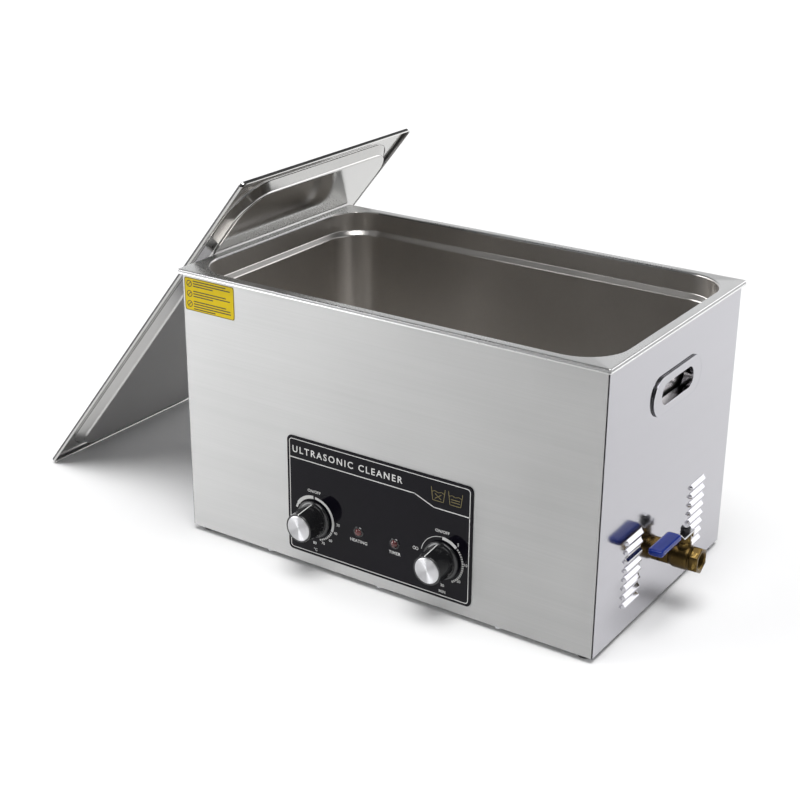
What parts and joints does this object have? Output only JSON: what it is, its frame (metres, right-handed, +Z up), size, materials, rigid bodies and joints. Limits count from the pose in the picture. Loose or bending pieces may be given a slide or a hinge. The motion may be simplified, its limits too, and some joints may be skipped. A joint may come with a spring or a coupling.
{
  "type": "ultrasonic cleaner",
  "caption": "Bench-top ultrasonic cleaner: sheet-steel cabinet round a deep bath, with heat and timer dials, a lever drain valve, a rear fan and a loose lid leaning on the rim.",
  "frame": {"origin": "on the bench, under the middle of the cabinet, between its four feet", "axes": "+X towards the side with the drain valve, -Y towards the control panel, +Z up"},
  "size_m": [0.8383, 0.3909, 0.4179],
  "materials": {
    "bath_steel": "drawn stainless steel, satin",
    "black_plastic": "moulded black plastic",
    "black_plate": "glossy black printed plate",
    "black_steel": "black-oxide steel",
    "blue_vinyl": "dipped blue vinyl",
    "board_green": "green solder mask",
    "brass": "machined brass",
    "bright_steel": "nickel-plated steel",
    "capacitor_sleeve": "blue shrink sleeve",
    "cast_aluminium": "turned aluminium",
    "copper": "copper",
    "electrode": "thin tinned brass foil",
    "fan_plastic": "black glass-filled plastic",
    "ferrite": "wound steel core",
    "heater_silicone": "orange silicone heating mat",
    "ivory_plastic": "moulded ivory plastic",
    "lamp_lens": "clear red-tinted lens",
    "mirror_steel": "bright annealed stainless steel, nearly a mirror",
    "piezo_ceramic": "silvered lead zirconate ceramic",
    "ptfe": "white PTFE",
    "rubber": "black rubber",
    "sheet_steel": "brushed stainless steel",
    "silicone": "translucent white silicone rubber",
    "spun_aluminium": "circularly spun aluminium",
    "winding": "lacquered copper wire under film",
    "yellow_label": "yellow printed film",
    "zinc_steel": "zinc-plated steel"
  },
  "bodies": {
    "cabinet": {"front_panel": "sheet_steel", "left_side_panel": "mirror_steel", "right_side_panel": "mirror_steel", "rear_panel": "mirror_steel", "base_plate": "zinc_steel", "rear_screws": "bright_steel", "base_screws": "bright_steel", "rubber_feet": "rubber", "foot_screws": "bright_steel", "tank": "bath_steel", "rim_gasket": "rubber", "front_label": "yellow_label", "control_plate": "black_plate", "heating_lamp": "lamp_lens", "timer_lamp": "lamp_lens", "thermostat_body": "zinc_steel", "thermostat_bulb": "copper", "timer_body": "ivory_plastic", "bushing_nuts": "bright_steel", "transducer_front_masses": "cast_aluminium", "piezo_rings": "piezo_ceramic", "transducer_electrodes": "electrode", "transducer_back_masses": "black_steel", "transducer_bolts": "black_steel", "heater_pads": "heater_silicone", "circuit_board": "board_green", "board_standoffs": "zinc_steel", "heat_sinks": "cast_aluminium", "capacitors": "capacitor_sleeve", "transformer_core": "ferrite", "transformer_winding": "winding", "fan_frame": "fan_plastic", "fan_guard": "bright_steel", "mains_inlet": "black_plastic", "drain_fitting": "bright_steel", "drain_locknut": "brass", "drain_hose": "silicone", "hose_clamps": "bright_steel", "bulkhead_nipple": "brass", "bulkhead_nut": "brass", "valve_body": "brass", "valve_end": "brass", "valve_seats": "ptfe", "packing_nut": "black_steel"},
    "heat_dial": {"thermostat_shaft": "bright_steel", "heat_knob": "black_plastic", "heat_knob_cap": "spun_aluminium"},
    "timer_dial": {"timer_shaft": "bright_steel", "timer_knob": "black_plastic", "timer_knob_cap": "spun_aluminium"},
    "valve_handle": {"valve_ball": "bright_steel", "valve_stem": "bright_steel", "valve_lever": "bright_steel", "lever_sleeve": "blue_vinyl", "lever_nut": "black_steel"},
    "fan_wheel": {"fan_rotor": "fan_plastic"},
    "fuse_holder": {"fuse_drawer": "black_plastic"},
    "lid": {"lid_panel": "sheet_steel", "lid_handle": "bright_steel"}
  },
  "joints": [
    {"name": "heat_dial_turn", "type": "hinge", "parent": "cabinet", "child": "heat_dial", "pos_m": [-0.083, -0.1745, 0.065], "axis": [0, 1, 0], "range_deg": [0, 195]},
    {"name": "timer_dial_turn", "type": "hinge", "parent": "cabinet", "child": "timer_dial", "pos_m": [0.083, -0.1745, 0.065], "axis": [0, 1, 0], "range_deg": [-75, 170]},
    {"name": "valve_turn", "type": "hinge", "parent": "cabinet", "child": "valve_handle", "pos_m": [0.2849, 0, 0.085], "axis": [0, 0, 1], "range_deg": [0, 90]},
    {"name": "fan_spin", "type": "hinge", "parent": "cabinet", "child": "fan_wheel", "pos_m": [-0.15, 0.1405, 0.062], "axis": [0, 1, 0], "continuous": true},
    {"name": "fuse_drawer_pull", "type": "slide", "parent": "cabinet", "child": "fuse_holder", "axis": [0, 1, 0], "range_m": [0, 0.018]},
    {"name": "lid_lift", "type": "slide", "parent": "cabinet", "child": "lid", "axis": [0, 0, 1], "range_m": [0, 0.36]}
  ]
}
